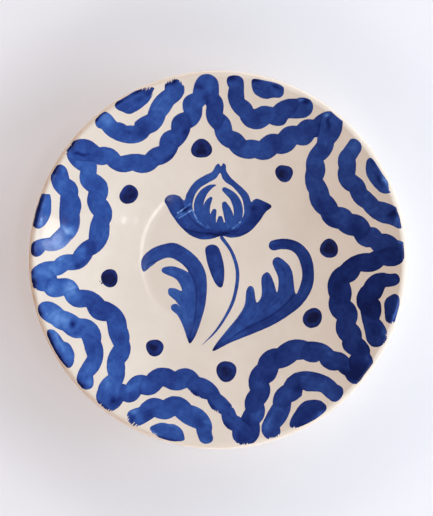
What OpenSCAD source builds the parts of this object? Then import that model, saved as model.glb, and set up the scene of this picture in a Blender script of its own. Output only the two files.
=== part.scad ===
// Hand painted ceramic plate: a thrown and turned clay body, a cream glaze over it,
// and the blue brush strokes that lie on the glaze. It rests on its foot ring, face up.

/* [Plate] */
// Outer diameter over the glaze
plate_d = 270; // [200:5:330]
// Height of the rim above the table
plate_h = 38; // [34:1:46]
// Diameter of the floor of the face
well_d = 106; // [90:2:120]
// How far the middle of the floor lies below its edge
floor_dip = 0.9; // [0.3:0.1:1.5]
// Thickness of the clay in the floor, at its edge
floor_t = 7; // [6:0.5:8]
// Thickness of the clay in the wall, which the rounded lip shares
wall_t = 6; // [5:0.5:7]

/* [Foot] */
// Outer diameter of the foot ring
foot_d = 122; // [112:2:130]
// Width of the foot ring where it rests
foot_w = 7; // [5:0.5:9]
// Height of the foot ring under the floor
foot_h = 5; // [4.5:0.5:6]
// Height of the bare clay edge that the glaze stops above
bare_h = 1.5; // [1:0.1:2]

/* [Glaze and paint] */
// Thickness of the cream glaze
glaze_t = 0.4; // [0.3:0.05:0.6]
// Thickness of the blue colour on the glaze
paint_t = 0.2; // [0.15:0.05:0.3]
// Width of the edge of the rim that the brush leaves bare
rim_bare = 2.4; // [2:0.1:4]

/* [Brush strokes] */
// Width of the brush's band in the big arches
arch_w = 14.5; // [12:0.5:15.5]
// Width of the brush's band in the inner arches
inner_w = 13.5; // [11:0.5:14]
// Share of the width that the dabs' scallops take
scallop = 0.14; // [0.05:0.01:0.2]
// Number of dabs in a big arch
arch_dabs = 11; // [9:1:13]
// Number of dabs in an inner arch
inner_dabs = 6; // [5:1:8]
// Width of the flower's stem
stem_w = 2.4; // [2:0.2:3]
// Width of the short strokes in the heart of the tulip
heart_w = 3.6; // [3:0.2:4]

/* [Hidden] */
// The motif is laid out for a plate of this diameter and grows with it
drawn_for_d = 270;
k = plate_d / drawn_for_d;

rim_r = plate_d / 2;
lip_r = wall_t / 2;
well_r = well_d / 2;
foot_ro = foot_d / 2;
foot_ri = foot_ro - foot_w;
floor_z = foot_h + floor_t;

// The wall is part of a hollow sphere whose centre stands at this height above the table
lip_cr = rim_r - glaze_t - lip_r;
lip_cz = plate_h - glaze_t - lip_r;
sphere_z = (pow(lip_cr, 2) - pow(well_r, 2) + pow(lip_cz, 2) - pow(floor_z - lip_r, 2))
    / (2 * (lip_cz - floor_z + lip_r));
mid_r = sqrt(pow(lip_cr, 2) + pow(sphere_z - lip_cz, 2));
wall_end = asin(lip_cr / mid_r);

floor_steps = 3;
wall_steps = 8;
lip_steps = 8;
curve_steps = 4;
dab_steps = 5;
cap_steps = 4;
face_steps = lip_steps / 2;

// Where a circle of radius r about the sphere's centre reaches the height z, as an angle
function angle_at(r, z) = acos((sphere_z - z) / r);
function on_sphere(r, a) = [r * sin(a), sphere_z - r * cos(a)];
function on_lip(r, a) = [lip_cr + r * cos(a), lip_cz + r * sin(a)];

// The face from the axis to the lip, t proud of the clay: a shallow dish, then the wall
function face(t) = let (
    r = mid_r - lip_r - t,
    a0 = angle_at(r, floor_z + t),
    edge = on_sphere(r, a0)
) [
    for (i = [0 : floor_steps - 1]) let (u = i / floor_steps)
        [edge[0] * u, edge[1] - floor_dip * (1 - u * u)],
    for (i = [0 : wall_steps]) on_sphere(r, a0 + (wall_end - a0) * i / wall_steps)
];
// The lip, from the face round the given number of its steps
function lip(t, steps) = [
    for (i = [1 : steps]) on_lip(lip_r + t, 90 + wall_end - 180 * i / lip_steps)
];
// The back of the wall from the lip down to the foot ring
function back(t) = let (r = mid_r + lip_r + t, a1 = asin((foot_ro + t) / r)) [
    for (i = [1 : wall_steps]) on_sphere(r, wall_end + (a1 - wall_end) * i / wall_steps)
];

// Angles of the eight points of the star, where two big arches meet at the rim
star = [93, 51, 3, -38, -81, -129, -175, 142];

// Each big arch from one star point to the next: [radius, angle] along its middle
big_arches = [
    [[127, 94], [105, 91], [88, 84], [84, 73], [94, 63], [107, 57], [127, 50]],
    [[127, 52], [110, 47], [96, 42], [87, 30], [92, 19], [106, 9], [126, 3]],
    [[126, 2], [106, -1], [92, -7], [91, -15], [102, -25], [112, -31], [127, -38]],
    [[128, -38], [112, -41], [97, -43], [84, -57], [91, -70], [109, -76], [127, -82]],
    [[126, -81], [107, -88], [94, -96], [89, -105], [96, -116], [109, -123], [125, -129]],
    [[125, -129], [109, -133], [94, -138], [87, -148], [93, -158], [108, -167], [126, -175]],
    [[127, -174], [106, -180], [92, -186], [89, -196], [95, -205], [108, -212], [127, -219]],
    [[127, -217], [108, -223], [94, -228], [87, -238], [92, -248], [106, -259], [127, -267]]
];

// Each inner arch, nested between a big arch and the rim
inner_arches = [
    [[129, 86], [118, 84], [107, 77], [109, 71], [117, 66], [126, 60]],
    [[129, 41], [117, 38], [111, 30], [115, 22], [121, 17], [129, 13]],
    [[128, -6], [116, -9], [111, -14], [116, -20], [122, -24], [128, -28]],
    [[129, -48], [117, -50], [105, -57], [109, -63], [117, -68], [128, -73]],
    [[128, -93], [118, -96], [111, -101], [110, -107], [116, -113], [127, -118]],
    [[128, -137], [117, -141], [108, -149], [112, -155], [121, -160], [128, -164]],
    [[129, -183], [117, -186], [110, -191], [111, -199], [119, -205], [128, -209]],
    [[128, -231], [119, -232], [108, -237], [109, -243], [118, -250], [127, -256]]
];

// Each rim petal: [radius, angle, length along the rim, width across it]
petals = [
    [128, 73, 23, 13], [129, 28, 24, 11], [129, -16, 20, 11], [128, -60, 24, 14],
    [128, -106, 23, 13], [129, -151, 26, 11], [129, -195, 25, 12], [128, -242, 25, 13]
];
// Each dot: [radius, angle, width]
dots = [
    [80, 98.5, 14], [77.5, 53, 12], [79.5, 6, 13.3], [79, -31.5, 13.8], [79.5, -86, 14.5], [77, -126, 12],
    [78.5, -170.5, 12.5], [79, -216, 13]
];

// The tulip's outline, clockwise from the tip of its left wing
cup_points = [
    [-38, 42], [-37, 44.5], [-32, 46], [-28, 45], [-24, 41], [-21.5, 47], [-16, 54.5], [-9, 59],
    [-4, 62.5], [-1.5, 67], [0.5, 68.5], [2.2, 67], [4, 68.8], [5.5, 63], [9.5, 57.5], [16.5, 51.5],
    [21, 46.5], [23.5, 41], [28, 43], [32.5, 41], [38, 37.5], [34.5, 34], [29.5, 27.5], [23.5, 21],
    [16.5, 17.3], [9.5, 15.8], [2.5, 16.5], [-5, 15], [-12, 15], [-19, 18.5], [-26, 25], [-32, 33]
];
// The opening between its petals
opening_points = [
    [1, 64], [5, 56], [12, 49], [17, 41], [18, 33], [13, 26], [0, 24], [-11, 26], [-16, 33],
    [-18, 40], [-16, 48], [-11, 54], [-4, 57]
];
// The strokes in that opening, each a row of points along its middle
heart_strokes = [
    [[-4, 52], [-10, 48], [-14, 40], [-12, 31], [-7, 28]],
    [[-5, 43], [-8, 38], [-7, 31]],
    [[-2, 34], [-3, 31], [-3, 29]],
    [[2, 31], [1, 29], [1, 27]],
    [[5, 38], [6, 33], [6, 29]],
    [[5, 49], [10, 43], [12, 35], [10, 30]]
];
stem_points = [[3, 17], [10, 6], [14, -6], [14, -17], [11, -30], [5, -42], [-2, -52], [-11, -61]];
bud_points = [
    [-6, 10], [-2, 11], [1, 9], [4, 0], [6, -9], [5, -17], [2, -20], [-3, -11], [-6, 0], [-8, 7]
];
left_leaf_points = [
    [-54, -8], [-55, 0], [-49, 7], [-40, 11], [-31, 12], [-22, 8], [-14, 1], [-9, -8],
    [-8, -18], [-9, -31], [-12, -43], [-16, -54], [-20, -60], [-22, -57], [-25, -48],
    [-29, -40], [-33, -36], [-33, -33], [-30, -32], [-27, -34], [-31, -29], [-35, -25],
    [-35, -21], [-31, -21], [-26, -22], [-30, -14], [-39, -9], [-39, -6], [-32, -5], [-23, -8],
    [-21, -10], [-23, -6], [-28, -1], [-35, 2], [-42, 0], [-48, -4]
];
right_leaf_points = [
    [37, 9], [38, 13], [44, 15], [51, 15], [59, 12], [66, 4], [69, -7], [68, -20], [61, -32],
    [50, -41], [38, -48], [24, -54], [9, -60], [-3, -66], [-1, -62], [6, -53], [15, -42],
    [20, -33], [21, -24], [23, -20], [26, -21], [28, -31], [32, -26], [32, -14], [35, -10],
    [38, -11], [41, -17], [43, -24], [44, -14], [40, -3], [43, 1], [49, -2], [54, -9], [56, -25],
    [60, -16], [61, -8], [58, 2], [53, 7], [46, 8], [40, 7]
];

function polar(p) = p[0] * [cos(p[1]), sin(p[1])];
function all_polar(path) = [for (p = path) polar(p)];

// A smooth curve through p1 and p2, with p0 before it and p3 after it
function blend(p0, p1, p2, p3, t) =
    0.5 * (2 * p1 + (p2 - p0) * t + (2 * p0 - 5 * p1 + 4 * p2 - p3) * t * t
    + (3 * p1 - p0 - 3 * p2 + p3) * t * t * t);

// The point a fraction u of the way along an open row of points
function along(path, u) = let (
    n = len(path) - 1,
    i = min(floor(u * n), n - 1)
) blend(path[max(i - 1, 0)], path[i], path[i + 1], path[min(i + 2, n)], u * n - i);

// A closed row of points, rounded
function rounded(path) = let (n = len(path)) [
    for (i = [0 : n - 1], s = [0 : curve_steps - 1])
        blend(path[(i + n - 1) % n], path[i], path[(i + 1) % n], path[(i + 2) % n], s / curve_steps)
];

// Pairs of the length reached and the fraction there, for n steps along a row of points
function lengths(path, n) = [
    for (
        i = 0, s = 0;
        i <= n;
        s = s + (i < n ? norm(along(path, (i + 1) / n) - along(path, i / n)) : 0),
        i = i + 1
    ) [s, i / n]
];

// n + 1 points an even distance apart along a row of points
function even(path, n) = let (table = lengths(path, 8 * len(path)), whole = table[len(table) - 1][0])
    [for (j = [0 : n]) along(path, lookup(whole * j / n, table))];

// The outline of a stroke of the given width: a band with round ends, waisted between its dabs
function stroke(path, w, count, depth) = let (
    n = count * dab_steps,
    mids = even(path, n),
    turns = [for (j = [0 : n]) let (d = mids[min(j + 1, n)] - mids[max(j - 1, 0)]) d / norm(d)],
    halves = [for (j = [0 : n]) w / 2 * (1 - depth * (1 - abs(sin(180 * j * count / n))))],
    start = atan2(turns[0][1], turns[0][0]),
    end = atan2(turns[n][1], turns[n][0])
) concat(
    [for (j = [0 : n]) mids[j] + halves[j] * [-turns[j][1], turns[j][0]]],
    [for (c = [1 : cap_steps - 1]) mids[n] + halves[n] * polar([1, end + 90 - 180 * c / cap_steps])],
    [for (j = [n : -1 : 0]) mids[j] - halves[j] * [-turns[j][1], turns[j][0]]],
    [for (c = [1 : cap_steps - 1]) mids[0] + halves[0] * polar([1, start - 90 - 180 * c / cap_steps])]
);

// The thin skin on the face that every stroke is cut from
module paint_skin() {
    inner = concat(face(glaze_t), lip(glaze_t, face_steps));
    outer = concat(face(glaze_t + paint_t), lip(glaze_t + paint_t, face_steps));
    rotate_extrude($fn = 96)
        polygon(concat(inner, [for (i = [len(outer) - 1 : -1 : 0]) outer[i]]));
}

module painted() {
    color("royalblue") intersection() {
        paint_skin();
        linear_extrude(plate_h + 1) intersection() {
            circle(r = rim_r - rim_bare, $fn = 96);
            scale(k) children();
        }
    }
}

// The slice of the plate between two star points
module slice(i) {
    reach = 2 * drawn_for_d;
    a = star[i];
    b = star[(i + 1) % 8];
    mid = a - ((a - b + 360) % 360) / 2;
    polygon([[0, 0], reach * polar([1, a]), reach * polar([1, mid]), reach * polar([1, b])]);
}

module clay_body() {
    underside = [[foot_ro, 0], [foot_ri, 0], [foot_ri, foot_h], [0, foot_h]];
    color("tan") rotate_extrude($fn = 96)
        polygon(concat(face(0), lip(0, lip_steps - 1), [on_sphere(mid_r + lip_r, wall_end)],
            back(0), underside));
}

module glaze_coat() {
    outside = concat(face(glaze_t), lip(glaze_t, lip_steps - 1),
        [on_sphere(mid_r + lip_r + glaze_t, wall_end)], back(glaze_t),
        [[foot_ro + glaze_t, bare_h], [foot_ro, bare_h]]);
    inside = concat(face(0), lip(0, lip_steps - 1), [on_sphere(mid_r + lip_r, wall_end)], back(0));
    color("linen") rotate_extrude($fn = 96)
        polygon(concat(outside, [for (i = [len(inside) - 1 : -1 : 0]) inside[i]]));
}

module base_glaze() {
    color("linen") rotate_extrude($fn = 96) polygon([
        [0, foot_h], [foot_ri, foot_h], [foot_ri, bare_h], [foot_ri - glaze_t, bare_h],
        [foot_ri - glaze_t, foot_h - glaze_t], [0, foot_h - glaze_t]
    ]);
}

module big_arch(i) {
    painted() intersection() {
        polygon(stroke(all_polar(big_arches[i]), arch_w, arch_dabs, scallop));
        slice(i);
    }
}

module inner_arch(i) {
    painted() polygon(stroke(all_polar(inner_arches[i]), inner_w, inner_dabs, scallop));
}

// A rim petal bows along the rim, so the middles of its round ends stand off by an angle
module rim_petal(i) {
    r = petals[i][0];
    w = petals[i][3];
    bow = (petals[i][2] - w) / 2 / r * 180 / PI;
    path = [for (side = [-1, 0, 1]) polar([r, petals[i][1] + side * bow])];
    painted() polygon(stroke(path, w, 1, 0));
}

module dot(i) {
    painted() translate(polar(dots[i])) circle(d = dots[i][2], $fn = 48);
}

module tulip_cup() {
    painted() difference() {
        polygon(rounded(cup_points));
        polygon(rounded(opening_points));
    }
}

module tulip_heart() {
    painted() for (path = heart_strokes) polygon(stroke(path, heart_w, 2, 0));
}

module bud() {
    painted() polygon(rounded(bud_points));
}

// The stem starts at the tulip's base and narrows to a point at its foot
module stem() {
    n = 4 * len(stem_points);
    mids = [for (j = [0 : n]) along(stem_points, j / n)];
    sides = [
        for (j = [0 : n - 1]) let (d = mids[j + 1] - mids[j], half = stem_w / 2 * (1 - pow(j / n, 3)))
            half * [d[1], -d[0]] / norm(d)
    ];
    painted() difference() {
        polygon(concat(
            [for (j = [0 : n - 1]) mids[j] + sides[j]],
            [mids[n]],
            [for (j = [n - 1 : -1 : 0]) mids[j] - sides[j]]
        ));
        polygon(rounded(cup_points));
    }
}

module left_leaf() {
    painted() polygon(rounded(left_leaf_points));
}

module right_leaf() {
    painted() polygon(rounded(right_leaf_points));
}

clay_body();
glaze_coat();
base_glaze();
for (i = [0 : 7]) {
    big_arch(i);
    inner_arch(i);
    rim_petal(i);
    dot(i);
}
tulip_cup();
tulip_heart();
bud();
stem();
left_leaf();
right_leaf();
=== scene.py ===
"""Hand painted ceramic plate: glazed body, bare clay foot and blue brush strokes, seen from above."""

import math

import bpy
import numpy as np
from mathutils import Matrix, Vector


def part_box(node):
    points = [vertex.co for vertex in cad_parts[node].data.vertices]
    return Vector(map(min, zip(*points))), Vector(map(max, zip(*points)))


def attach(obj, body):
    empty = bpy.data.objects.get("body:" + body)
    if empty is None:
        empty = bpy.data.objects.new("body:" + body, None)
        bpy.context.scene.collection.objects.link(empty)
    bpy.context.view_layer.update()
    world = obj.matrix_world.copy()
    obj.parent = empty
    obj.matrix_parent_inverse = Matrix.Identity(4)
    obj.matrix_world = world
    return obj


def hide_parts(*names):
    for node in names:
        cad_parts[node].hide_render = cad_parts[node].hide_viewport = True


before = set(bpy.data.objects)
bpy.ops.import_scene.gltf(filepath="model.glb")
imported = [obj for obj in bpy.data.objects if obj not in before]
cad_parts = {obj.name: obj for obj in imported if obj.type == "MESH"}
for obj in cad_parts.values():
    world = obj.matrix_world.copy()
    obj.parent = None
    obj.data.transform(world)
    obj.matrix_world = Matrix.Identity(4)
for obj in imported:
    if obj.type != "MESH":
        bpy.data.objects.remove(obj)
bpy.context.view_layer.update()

MM = 0.001

# ----- Sizes, in millimetres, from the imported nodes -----

GLAZE_LOW, GLAZE_HIGH = (np.array(c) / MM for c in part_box("glaze_coat"))
_, BASE_HIGH = (np.array(c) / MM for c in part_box("base_glaze"))

RIM_R, RIM_Z = GLAZE_HIGH[0], GLAZE_HIGH[2]
BARE_Z = GLAZE_LOW[2]
FOOT_RI, FOOT_TOP = BASE_HIGH[0], BASE_HIGH[2]

WELL_R = 53.0
WALL_T = 6.0
GLAZE_T = 0.4
FLOOR_T = 7.0
FLOOR_Z = FOOT_TOP + FLOOR_T + GLAZE_T
FOOT_W = 7.0
FOOT_RO = FOOT_RI + FOOT_W
LIP_R = WALL_T / 2 + GLAZE_T
LIP_CR = RIM_R - LIP_R
LIP_CZ = RIM_Z - LIP_R

# The wall is part of a hollow sphere, whose centre stands at this height
SPHERE_Z = (LIP_CR**2 - WELL_R**2 + LIP_CZ**2 - (FLOOR_Z - LIP_R) ** 2) / (2 * (LIP_CZ - FLOOR_Z + LIP_R))
MID_R = math.hypot(LIP_CR, SPHERE_Z - LIP_CZ)
FACE_R = MID_R - LIP_R
BACK_R = MID_R + LIP_R
WALL_END = math.asin(LIP_CR / MID_R)

PAINT_EDGE_R = RIM_R - 2.4
"""Where the brush stops short of the rim."""

# ----- Noise that is the same on every run -----


def _hash(ix, iy, seed):
    """A number from 0 to 1 for each lattice point."""
    h = (ix.astype(np.int64) * 374761393 + iy.astype(np.int64) * 668265263 + seed * 974634777) & 0xFFFFFFFF
    h = ((h ^ (h >> 13)) * 1274126177) & 0xFFFFFFFF
    return ((h ^ (h >> 16)) & 0xFFFF) / 65535.0


def noise(x, y, seed=0):
    """Smooth noise from -1 to 1, with one lattice cell to the unit."""
    x, y = np.broadcast_arrays(np.asarray(x, float), np.asarray(y, float))
    ix, iy = np.floor(x), np.floor(y)
    fx, fy = x - ix, y - iy
    fx, fy = fx * fx * (3 - 2 * fx), fy * fy * (3 - 2 * fy)
    low = _hash(ix, iy, seed) * (1 - fx) + _hash(ix + 1, iy, seed) * fx
    high = _hash(ix, iy + 1, seed) * (1 - fx) + _hash(ix + 1, iy + 1, seed) * fx
    return 2 * (low * (1 - fy) + high * fy) - 1


def smoothstep(low, high, v):
    t = np.clip((v - low) / (high - low), 0, 1)
    return t * t * (3 - 2 * t)


def bell(v):
    return np.exp(-(v**2))


# ----- The plate's surfaces -----

FLOOR_DIP = 0.9
"""How far the middle of the floor lies below its edge."""
CREASE = (46.0, 60.0)
"""The radii between which the floor turns into the wall."""


def _face_table():
    """Height of the face against radius: a dished floor, a soft turn and a spherical wall up to the lip."""
    r = np.arange(0.0, LIP_CR - LIP_R * math.sin(WALL_END) + 0.05, 0.1)
    turn = smoothstep(*CREASE, r)
    slope = 2 * FLOOR_DIP / WELL_R * r / WELL_R * (1 - turn) + np.tan(np.arcsin(r / FACE_R)) * turn
    z = np.concatenate([[0], np.cumsum((slope[1:] + slope[:-1]) / 2 * 0.1)])
    return r, z - z[-1] + SPHERE_Z - math.sqrt(FACE_R**2 - r[-1] ** 2)


FACE_TABLE = _face_table()


def face_z(r):
    """Height of the glazed face at radius r, over the top of the lip too."""
    r = np.asarray(r, float)
    lip = LIP_CZ + np.sqrt(np.maximum(LIP_R**2 - (r - LIP_CR) ** 2, 0))
    return np.where(r <= FACE_TABLE[0][-1], np.interp(r, *FACE_TABLE), lip)


def ripple(x, y):
    """The slow unevenness of a hand thrown surface, which stops short of the lip."""
    slow = 0.10 * noise(x / 31 + 5, y / 31, 1) + 0.02 * noise(x / 13, y / 13 + 7, 2)
    return slow * smoothstep(RIM_R - 2, RIM_R - 14, np.hypot(x, y))


def surface(x, y):
    """Height of the glazed face at (x, y)."""
    return face_z(np.hypot(x, y)) + ripple(x, y)


def surface_normal(x, y, rise, step=0.2):
    """Unit normals of the face with rise(x, y) standing on it."""
    def high(a, b):
        return surface(a, b) + rise(a, b)

    dx, dy = high(x + step, y) - high(x - step, y), high(x, y + step) - high(x, y - step)
    n = np.stack([-dx / (2 * step), -dy / (2 * step), np.ones_like(dx)], axis=-1)
    return n / np.linalg.norm(n, axis=-1, keepdims=True)


# ----- Meshes -----


def mesh_object(name, vertices, faces, material):
    """A mesh object, given in millimetres."""
    mesh = bpy.data.meshes.new(name)
    mesh.from_pydata((np.asarray(vertices) * MM).tolist(), [], faces)
    mesh.materials.append(material)
    made = bpy.data.objects.new(name, mesh)
    bpy.context.scene.collection.objects.link(made)
    return made


def new_piece(name, vertices, faces, material, slot, *nodes):
    """A smooth piece that rides on the plate and stands for the CAD nodes."""
    piece = mesh_object(name, vertices, faces, material)
    piece.data.polygons.foreach_set("use_smooth", [True] * len(faces))
    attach(piece, "root")
    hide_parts(*nodes)
    return piece


def revolve(profile, shape, turns):
    """Vertices and faces of a closed row of (radius, height) turned about the axis; radius 0 makes a pole.

    shape(x, y, i) gives how far ring i stands out along +Z at each place."""
    angles = np.arange(turns) * 2 * math.pi / turns
    vertices, rings = [], []
    for i, (r, z) in enumerate(profile):
        x, y = (r * part(angles if r > 1e-6 else angles[:1]) for part in (np.cos, np.sin))
        rings.append(range(len(vertices), len(vertices) + len(x)))
        vertices.extend(zip(x, y, z + shape(x, y, i)))
    faces = []
    for a, b in zip(rings, rings[1:] + rings[:1]):
        for j in range(turns if len(a) + len(b) > 2 else 0):
            k = (j + 1) % turns
            if len(a) == 1:
                faces.append((a[0], b[j], b[k]))
            elif len(b) == 1:
                faces.append((a[j], b[0], a[k]))
            else:
                faces.append((a[j], b[j], b[k], a[k]))
    return vertices, faces


def sphere_row(radius, start, end, steps):
    """(radius, height) points along the wall's sphere between two angles from its axis."""
    return [(radius * math.sin(a), SPHERE_Z - radius * math.cos(a)) for a in np.linspace(start, end, steps)]


def lip_row(radius, steps):
    """(radius, height) points round the lip from the face to the back."""
    return [(LIP_CR + radius * math.cos(a), LIP_CZ + radius * math.sin(a))
            for a in np.linspace(math.pi / 2 + WALL_END, WALL_END - math.pi / 2, steps)]


# ----- The painter's strokes, in millimetres and degrees -----

# An arch: the (radius, angle) points of its middle line; how far its two ends reach along it; its left side,
# which faces the rim, and its right side, as (way along, distance out) rows of the cusps between its dabs,
# with how far the dab before the cusp bulges where it isn't the usual share; how thick its colour lies; and
# its touches, as (way along, way across, reach along, reach across, darker by)
BIG_ARCHES = [
    ([(127, 94), (105, 91), (88, 84), (84, 73), (94, 63), (107, 57), (127, 50)], (-5, 128),
     [(2, 8.5), (11, 6.5), (25.5, 4.5), (40.5, 4), (54.5, 4), (66.5, 4.5, 1.4), (81.5, 5.7), (96, 6.3),
      (108.5, 6.8), (118, 9.5)],
     [(2, 5.5), (16.5, 4.5), (32.5, 6.3, 2.3), (47, 7, 1.6), (62.5, 7.5, 1.6), (76.5, 7.2), (91.5, 6),
      (105.5, 5.5, 3.2), (118, 8)], 0.61,
     [(0, -4.5, 4, 1.5, 0.3), (12, -4, 5, 2, 0.25), (3, -6.5, 3, 1.5, -0.2), (113, 1, 2.5, 4, 0.2),
      (117.5, 8, 2, 1.2, -0.5), (76, 0, 5, 5, 0.1)]),
    ([(127, 52), (110, 47), (96, 42), (87, 30), (92, 19), (106, 9), (126, 3)], (-6, 129),
     [(4, 11.2), (16, 7.2), (29, 3, 1.2), (43.5, 3), (57, 5.2, 1.2), (69.5, 5, 1.4), (80.5, 8), (98, 8, 3),
      (108, 7.3), (120, 7.7, 1.5), (124, 8)],
     [(2, 6), (17.5, 5), (36.5, 8.5, 1.9), (51, 8.5, 1.3), (65, 8, 1.3), (80, 6.7), (91.5, 4, 1), (105, 5),
      (120, 9)], 0.62,
     [(2, 0.5, 4.5, 1.5, 0.35), (1, 5, 4, 3, -0.1), (-3, -1.5, 1.5, 2, -0.45), (72, -6.5, 6, 3, 0.3),
      (98, 1, 14, 7, 0.2), (121, 0, 5, 4, 0.3), (122, 7, 2, 1, -0.3), (60, -4, 4, 3, 0.12)]),
    ([(126, 2), (106, -1), (92, -7), (91, -15), (102, -25), (112, -31), (127, -38)], (-7, 117),
     [(1, 8.5), (10, 6), (27.5, 4), (42, 5), (59, 5.7, 2.2), (75.5, 5, 3), (86.5, 6.8, 1.5),
      (98.5, 10.2, 1.8), (103, 11.3)],
     [(3, 7), (16.5, 5.5), (36.5, 7.5, 1.7), (53.5, 8.5, 1.8), (69.5, 7.3), (85.5, 7.3), (96.5, 3.5, 2.2),
      (104, 7)], 0.82,
     [(8, -5, 6, 3, 0.15), (45, -2, 4, 5, 0.1), (92, -2, 4, 5, -0.15), (102, 8, 4, 2, -0.25),
      (110, -6, 4, 5, 0.3), (28, 2, 4, 3, -0.08)]),
    ([(128, -38), (112, -41), (97, -43), (84, -57), (91, -70), (109, -76), (127, -82)], (-6.5, 129),
     [(2, 10.5), (9, 6.6), (14.5, 4.7, 0.3), (29.5, 5.5), (43.5, 4.7), (48.5, 4.3, 0.1), (65.5, 5, 2.2),
      (80, 6, 2.1), (97, 5.4, 3), (109.5, 6.8), (119, 10.3)],
     [(0, 5), (7.5, 4.5), (24, 5.8, 3), (39, 7.8, 0.4), (58.5, 8, 2.6), (73.5, 8.3), (89, 5.8, 2),
      (104.5, 6.2), (111, 6.7, 0.3), (120, 9)], 0.72,
     [(2, 5, 4, 4, 0.35), (2, -5, 4, 5, 0.3), (12, 5, 6, 3, 0.2), (24, -4, 4, 3, -0.15), (85, 0, 4, 6, -0.12),
      (105, 4, 6, 5, -0.18), (117, 0, 7, 4, 0.2), (124, 4, 3, 3, -0.2)]),
    ([(126, -81), (107, -88), (94, -96), (89, -105), (96, -116), (109, -123), (125, -129)], (-7, 124),
     [(2, 9), (8, 5.4), (22.5, 3.3, 2.6), (37, 3.6, 2.2), (55.5, 5, 2.7), (75.2, 4.3, 3.5), (92.8, 5.6, 3.7),
      (106, 6.7, 3), (116, 11.3)],
     [(1, 7), (14, 4.3), (33, 6, 1.4), (51, 5.7, 2), (66, 5.5, 2.7), (85, 5.5, 3.5), (101, 4, 3.4),
      (114, 9)], 0.58,
     [(0, 5, 5, 3, 0.25), (-2, -1, 7, 7, 0.14), (13, 6, 4, 2, 0.3), (30, 4.5, 6, 1.5, 0.3),
      (46, 6, 6, 1.5, 0.35), (90, -1, 8, 6, -0.15), (99, -1, 2, 3, -0.2), (111, 5, 4, 4, 0.35),
      (117, -3, 4, 4, -0.15)]),
    ([(125, -129), (109, -133), (94, -138), (87, -148), (93, -158), (108, -167), (126, -175)], (-7, 124),
     [(4, 8.2), (14.5, 3.4), (37, 4.8, 3.3), (59, 3.4, 2.9), (77.5, 3.2, 3.9), (95, 3.6, 3.5), (108, 8.8, 3),
      (116, 11)],
     [(2, 9), (11, 7.8), (26.3, 5.3, 1.4), (39.5, 6.5, 1.4), (47.5, 6.8, 0.6), (69, 7.3, 2.2),
      (87.5, 5.7, 2.4), (105.5, 4, 4), (114, 8)], 0.5,
     [(-3, -5, 4, 3, 0.5), (8, 3, 5, 3, -0.12), (42, -1, 3, 4, 0.15), (62, 1, 3, 5, 0.1), (92, 0, 7, 8, -0.3),
      (97, -4, 4, 4, -0.12), (105, 5, 4, 4, -0.2), (112, 2, 3, 3, 0.15), (118, 9, 3, 3, 0.6),
      (114, -2, 9, 8, -0.16)]),
    ([(127, -174), (106, -180), (92, -186), (89, -196), (95, -205), (108, -212), (127, -219)], (-7, 121),
     [(3, 9.5), (14.5, 5.4), (28, 2.3, 1.9), (46, 4, 2.7), (65.5, 4, 2), (84, 3.8, 3.4), (99.5, 4.7, 2.9),
      (112, 10.5)],
     [(0, 8), (9, 4.2), (19, 5.4, 0.8), (39, 5.8, 3.9), (60, 7.5, 2.2), (75.2, 6.5), (94.3, 5.8, 4.5),
      (100, 7.8, 0.2), (110, 9)], 0.53,
     [(-5, 3, 2, 6, 0.8), (12, 0, 12, 8, -0.22), (0, -3, 3, 2, 0.25), (27, -6, 4, 2, 0.25),
      (32, -3, 3, 3, -0.12), (35, 2, 4, 3, -0.12), (43, -3, 5, 5, 0.12), (86, -5, 5, 4, 0.1),
      (111, 2, 2.5, 4, 0.3), (117, 7, 1.5, 3, 0.5), (113.5, 9, 2, 1.5, -0.35)]),
    ([(127, -217), (108, -223), (94, -228), (87, -238), (92, -248), (106, -259), (127, -267)], (-7, 128.5),
     [(5, 10.4), (16, 5.8), (31.3, 3, 2.1), (51, 3.5, 2.6), (65, 3.5, 2.1), (79.6, 4.3, 2.9),
      (95.4, 4.5, 3.6), (110.4, 6, 4), (120, 8.4)],
     [(2, 7), (16.5, 6.5), (23, 5.4, 0.6), (40.6, 6, 2.4), (56.7, 7, 2.5), (73, 7.8, 2), (88.8, 6.2, 1.4),
      (105.5, 5), (120, 7)], 0.56,
     [(4, -0.5, 5, 1.2, 0.4), (-3, 5, 2, 3, 0.4), (-4, -1, 2, 2, -0.2), (65, -8, 6, 1.5, 0.3),
      (85, -5, 4, 2, 0.2), (113, -4, 3, 3, 0.25), (117, 4, 2, 3, 0.25), (98, 4, 4, 4, -0.05)]),
]
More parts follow.
